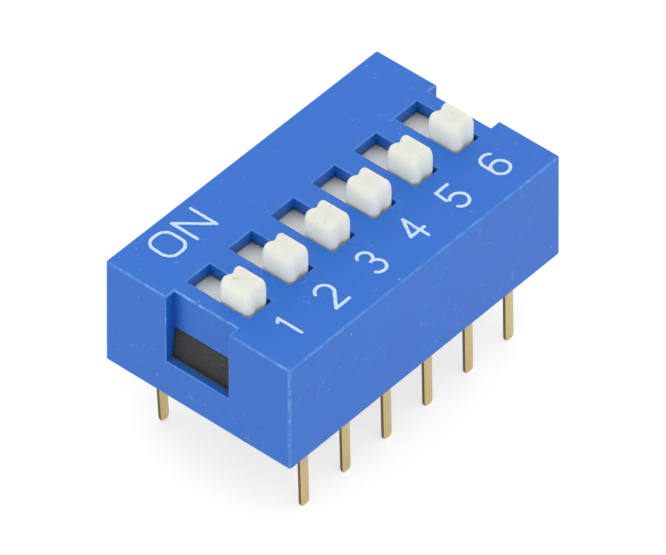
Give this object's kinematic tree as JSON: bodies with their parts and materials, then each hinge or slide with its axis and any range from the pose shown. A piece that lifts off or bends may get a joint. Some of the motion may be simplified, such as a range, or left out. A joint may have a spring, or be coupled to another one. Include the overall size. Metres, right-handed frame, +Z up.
{
  "type": "slide dip switch",
  "caption": "Dual in-line package switch: blue cover with a row of slide actuators, a black snap-in base, bridging spring contacts and two rows of through-hole pins.",
  "frame": {"origin": "middle of the underside of the base, in the plane of the cover's lower edge, where the switch sits on its board", "axes": "+X along the row from switch 1 upwards, +Y towards the side marked ON, +Z up out of the board; the pins point along -Z"},
  "size_m": [0.0166, 0.0098, 0.0104],
  "materials": {
    "blue_plastic": "satin moulded",
    "black_plastic": "matte moulded",
    "white_plastic": "satin moulded",
    "white_ink": "printed",
    "plated_pin": "plated, brushed",
    "plated_spring": "plated, bright"
  },
  "bodies": {
    "housing": {"cover": "blue_plastic", "legend": "white_ink", "base": "black_plastic", "terminal_near_1": "plated_pin", "terminal_near_2": "plated_pin", "terminal_near_3": "plated_pin", "terminal_near_4": "plated_pin", "terminal_near_5": "plated_pin", "terminal_near_6": "plated_pin", "terminal_far_1": "plated_pin", "terminal_far_2": "plated_pin", "terminal_far_3": "plated_pin", "terminal_far_4": "plated_pin", "terminal_far_5": "plated_pin", "terminal_far_6": "plated_pin"},
    "slider_1": {"actuator_1": "white_plastic", "contact_spring_1": "plated_spring"},
    "slider_2": {"actuator_2": "white_plastic", "contact_spring_2": "plated_spring"},
    "slider_3": {"actuator_3": "white_plastic", "contact_spring_3": "plated_spring"},
    "slider_4": {"actuator_4": "white_plastic", "contact_spring_4": "plated_spring"},
    "slider_5": {"actuator_5": "white_plastic", "contact_spring_5": "plated_spring"},
    "slider_6": {"actuator_6": "white_plastic", "contact_spring_6": "plated_spring"}
  },
  "joints": [
    {"name": "switch_1", "type": "slide", "parent": "housing", "child": "slider_1", "axis": [0, 1, 0], "range_m": [0, 0.0015]},
    {"name": "switch_2", "type": "slide", "parent": "housing", "child": "slider_2", "axis": [0, 1, 0], "range_m": [0, 0.0015]},
    {"name": "switch_3", "type": "slide", "parent": "housing", "child": "slider_3", "axis": [0, 1, 0], "range_m": [0, 0.0015]},
    {"name": "switch_4", "type": "slide", "parent": "housing", "child": "slider_4", "axis": [0, 1, 0], "range_m": [0, 0.0015]},
    {"name": "switch_5", "type": "slide", "parent": "housing", "child": "slider_5", "axis": [0, 1, 0], "range_m": [0, 0.0015]},
    {"name": "switch_6", "type": "slide", "parent": "housing", "child": "slider_6", "axis": [0, 1, 0], "range_m": [0, 0.0015]}
  ]
}
